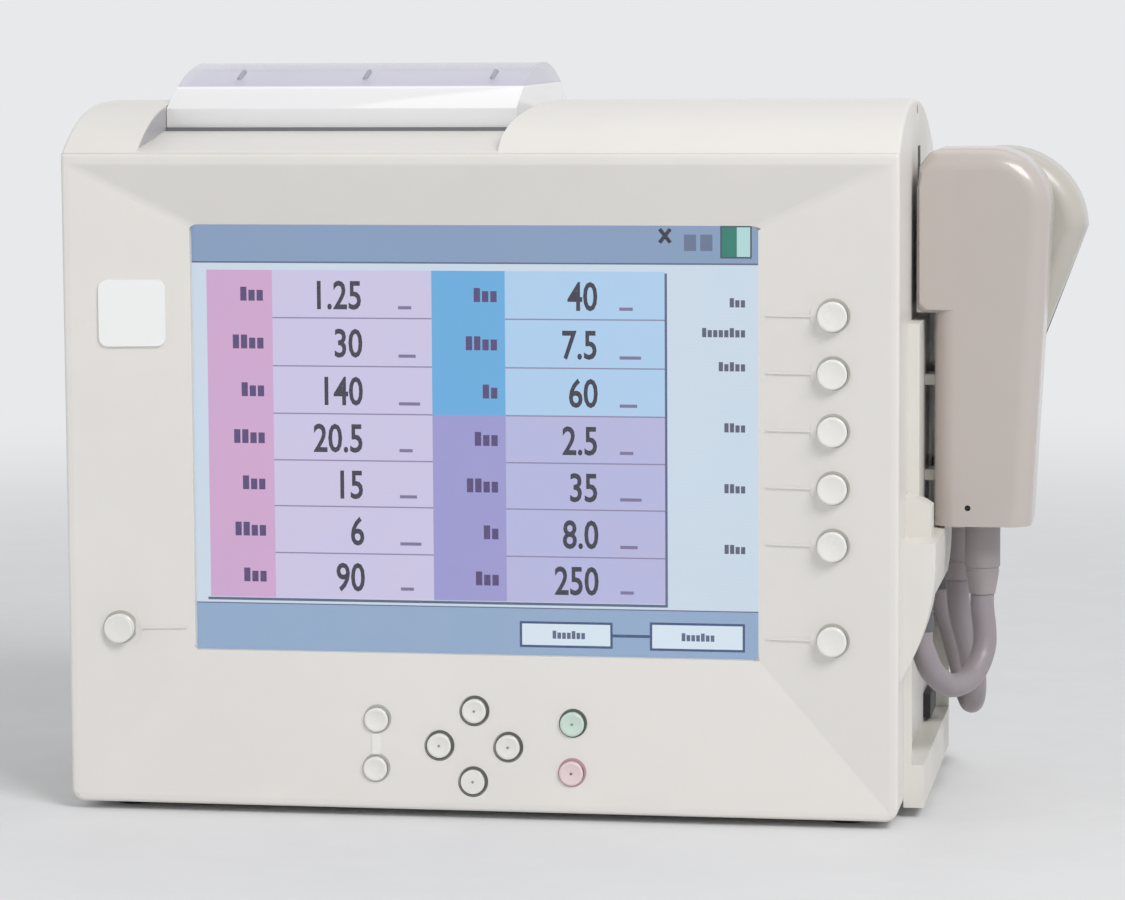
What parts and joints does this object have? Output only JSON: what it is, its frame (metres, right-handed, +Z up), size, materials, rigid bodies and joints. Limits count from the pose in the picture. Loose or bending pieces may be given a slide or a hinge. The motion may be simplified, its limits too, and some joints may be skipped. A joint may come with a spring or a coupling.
{
  "type": "in-line blood parameter monitor",
  "caption": "Bedside blood parameter monitor: sloped display front with soft keys, strip printer under a clear hinged cover, and cabled measuring modules hung on a side dock.",
  "frame": {"origin": "middle of the outline without the cables and plugs, on the underside of the rubber feet", "axes": "+X to the right seen from the front, +Y from the display front to the rear, +Z up"},
  "size_m": [0.375, 0.16, 0.279],
  "materials": {
    "housing_plastic": "fine grained off-white moulding",
    "dock_plastic": "fine grained off-white moulding",
    "panel_metal": "satin",
    "chassis_metal": "plain sheet",
    "screw_metal": "dark",
    "foot_rubber": "matt",
    "badge_face": "plain, bare",
    "window_glass": "clear, flat",
    "screen_face": "lit screen",
    "key_white": "smooth",
    "key_green": "smooth",
    "key_red": "smooth",
    "board_green": "coated board",
    "battery_wrap": "shrink wrap",
    "black_plastic": "matt",
    "port_metal": "plated",
    "cover_clear": "clear lavender plastic",
    "pin_metal": "bright",
    "tub_plastic": "smooth",
    "paper_white": "thermal paper",
    "platen_rubber": "ground",
    "head_metal": "dull",
    "pinion_brass": "bright",
    "module_a_plastic": "smooth, slightly pinkish white",
    "module_b_plastic": "smooth grey white",
    "relief_plastic": "soft grey",
    "cable_grey": "smooth jacket",
    "plug_grey": "matt"
  },
  "bodies": {
    "housing": {"front_bezel": "housing_plastic", "rear_housing": "housing_plastic", "chassis": "chassis_metal", "rear_panel": "panel_metal", "side_dock": "dock_plastic", "rubber_feet": "foot_rubber", "badge_plate": "badge_face", "display_window": "window_glass", "display_panel": "screen_face", "display_frame": "chassis_metal", "keypad_boards": "board_green", "main_board": "board_green", "power_supply": "chassis_metal", "battery_pack": "battery_wrap", "fan_frame": "black_plastic", "speaker": "black_plastic", "cable_sockets": "black_plastic", "power_inlet": "black_plastic", "data_ports": "port_metal", "cover_pins": "pin_metal", "paper_tub": "tub_plastic", "paper_spindle": "tub_plastic", "paper_strip": "paper_white", "print_head": "head_metal", "printer_motor": "head_metal", "tear_bar": "pin_metal", "case_screws": "screw_metal", "plug_a": "plug_grey", "plug_b": "plug_grey"},
    "fan": {"fan_rotor": "black_plastic"},
    "rocker": {"power_switch": "black_plastic"},
    "cover": {"printer_cover": "cover_clear"},
    "roll": {"paper_roll": "paper_white"},
    "platen": {"platen_roller": "platen_rubber"},
    "pinion": {"motor_pinion": "pinion_brass"},
    "module_a": {"module_a_shell": "module_a_plastic", "module_a_back": "module_a_plastic", "module_a_board": "board_green", "module_a_relief": "relief_plastic", "cable_a": "cable_grey"},
    "module_b": {"module_b_shell": "module_b_plastic", "module_b_back": "module_b_plastic", "module_b_board": "board_green", "module_b_relief": "relief_plastic", "cable_b": "cable_grey"},
    "soft_key_1_cap": {"soft_key_1": "key_white"},
    "soft_key_2_cap": {"soft_key_2": "key_white"},
    "soft_key_3_cap": {"soft_key_3": "key_white"},
    "soft_key_4_cap": {"soft_key_4": "key_white"},
    "soft_key_5_cap": {"soft_key_5": "key_white"},
    "soft_key_6_cap": {"soft_key_6": "key_white"},
    "left_key_cap": {"left_key": "key_white"},
    "menu_key_upper_cap": {"menu_key_upper": "key_white"},
    "menu_key_lower_cap": {"menu_key_lower": "key_white"},
    "arrow_key_up_cap": {"arrow_key_up": "key_white"},
    "arrow_key_left_cap": {"arrow_key_left": "key_white"},
    "arrow_key_right_cap": {"arrow_key_right": "key_white"},
    "arrow_key_down_cap": {"arrow_key_down": "key_white"},
    "start_key_cap": {"start_key": "key_green"},
    "stop_key_cap": {"stop_key": "key_red"}
  },
  "joints": [
    {"name": "soft_key_1_press", "type": "slide", "parent": "housing", "child": "soft_key_1_cap", "axis": [0, 1, 0], "range_m": [0, 0.001], "stiffness_N_per_m": 400, "springref_m": -0.0005},
    {"name": "soft_key_2_press", "type": "slide", "parent": "housing", "child": "soft_key_2_cap", "axis": [0, 1, 0], "range_m": [0, 0.001], "stiffness_N_per_m": 400, "springref_m": -0.0005},
    {"name": "soft_key_3_press", "type": "slide", "parent": "housing", "child": "soft_key_3_cap", "axis": [0, 1, 0], "range_m": [0, 0.001], "stiffness_N_per_m": 400, "springref_m": -0.0005},
    {"name": "soft_key_4_press", "type": "slide", "parent": "housing", "child": "soft_key_4_cap", "axis": [0, 1, 0], "range_m": [0, 0.001], "stiffness_N_per_m": 400, "springref_m": -0.0005},
    {"name": "soft_key_5_press", "type": "slide", "parent": "housing", "child": "soft_key_5_cap", "axis": [0, 1, 0], "range_m": [0, 0.001], "stiffness_N_per_m": 400, "springref_m": -0.0005},
    {"name": "soft_key_6_press", "type": "slide", "parent": "housing", "child": "soft_key_6_cap", "axis": [0, 1, 0], "range_m": [0, 0.001], "stiffness_N_per_m": 400, "springref_m": -0.0005},
    {"name": "left_key_press", "type": "slide", "parent": "housing", "child": "left_key_cap", "axis": [0, 1, 0], "range_m": [0, 0.001], "stiffness_N_per_m": 400, "springref_m": -0.0005},
    {"name": "menu_key_upper_press", "type": "slide", "parent": "housing", "child": "menu_key_upper_cap", "axis": [0, 1, 0], "range_m": [0, 0.001], "stiffness_N_per_m": 400, "springref_m": -0.0005},
    {"name": "menu_key_lower_press", "type": "slide", "parent": "housing", "child": "menu_key_lower_cap", "axis": [0, 1, 0], "range_m": [0, 0.001], "stiffness_N_per_m": 400, "springref_m": -0.0005},
    {"name": "arrow_key_up_press", "type": "slide", "parent": "housing", "child": "arrow_key_up_cap", "axis": [0, 1, 0], "range_m": [0, 0.001], "stiffness_N_per_m": 400, "springref_m": -0.0005},
    {"name": "arrow_key_left_press", "type": "slide", "parent": "housing", "child": "arrow_key_left_cap", "axis": [0, 1, 0], "range_m": [0, 0.001], "stiffness_N_per_m": 400, "springref_m": -0.0005},
    {"name": "arrow_key_right_press", "type": "slide", "parent": "housing", "child": "arrow_key_right_cap", "axis": [0, 1, 0], "range_m": [0, 0.001], "stiffness_N_per_m": 400, "springref_m": -0.0005},
    {"name": "arrow_key_down_press", "type": "slide", "parent": "housing", "child": "arrow_key_down_cap", "axis": [0, 1, 0], "range_m": [0, 0.001], "stiffness_N_per_m": 400, "springref_m": -0.0005},
    {"name": "start_key_press", "type": "slide", "parent": "housing", "child": "start_key_cap", "axis": [0, 1, 0], "range_m": [0, 0.001], "stiffness_N_per_m": 400, "springref_m": -0.0005},
    {"name": "stop_key_press", "type": "slide", "parent": "housing", "child": "stop_key_cap", "axis": [0, 1, 0], "range_m": [0, 0.001], "stiffness_N_per_m": 400, "springref_m": -0.0005},
    {"name": "fan_spin", "type": "hinge", "parent": "housing", "child": "fan", "pos_m": [0.0565, 0.06635, 0.128], "axis": [0, 1, 0], "continuous": true},
    {"name": "rocker_tilt", "type": "hinge", "parent": "housing", "child": "rocker", "pos_m": [0.0374, 0.0755, 0.048], "axis": [1, 0, 0], "range_deg": [0, 20]},
    {"name": "cover_hinge", "type": "hinge", "parent": "housing", "child": "cover", "pos_m": [-0.0905, 0.077, 0.2525], "axis": [-1, 0, 0], "range_deg": [0, 95]},
    {"name": "roll_spin", "type": "hinge", "parent": "housing", "child": "roll", "pos_m": [-0.0905, 0.0225, 0.241], "axis": [1, 0, 0], "continuous": true},
    {"name": "platen_spin", "type": "hinge", "parent": "housing", "child": "platen", "pos_m": [-0.0905, -0.0295, 0.246], "axis": [1, 0, 0], "continuous": true},
    {"name": "pinion_spin", "type": "hinge", "parent": "housing", "child": "pinion", "pos_m": [-0.0245, -0.0295, 0.237], "axis": [1, 0, 0], "continuous": true},
    {"name": "module_a_lift", "type": "slide", "parent": "housing", "child": "module_a", "axis": [0, 0, 1], "range_m": [0, 0.012], "deforming": ["cable_a"]},
    {"name": "module_b_lift", "type": "slide", "parent": "housing", "child": "module_b", "axis": [0, 0, 1], "range_m": [0, 0.012], "deforming": ["cable_b"]}
  ],
  "couplings": [
    {"joint": "platen_spin", "follows": "roll_spin", "ratio": 3.7143},
    {"joint": "pinion_spin", "follows": "roll_spin", "ratio": -7.4286}
  ]
}
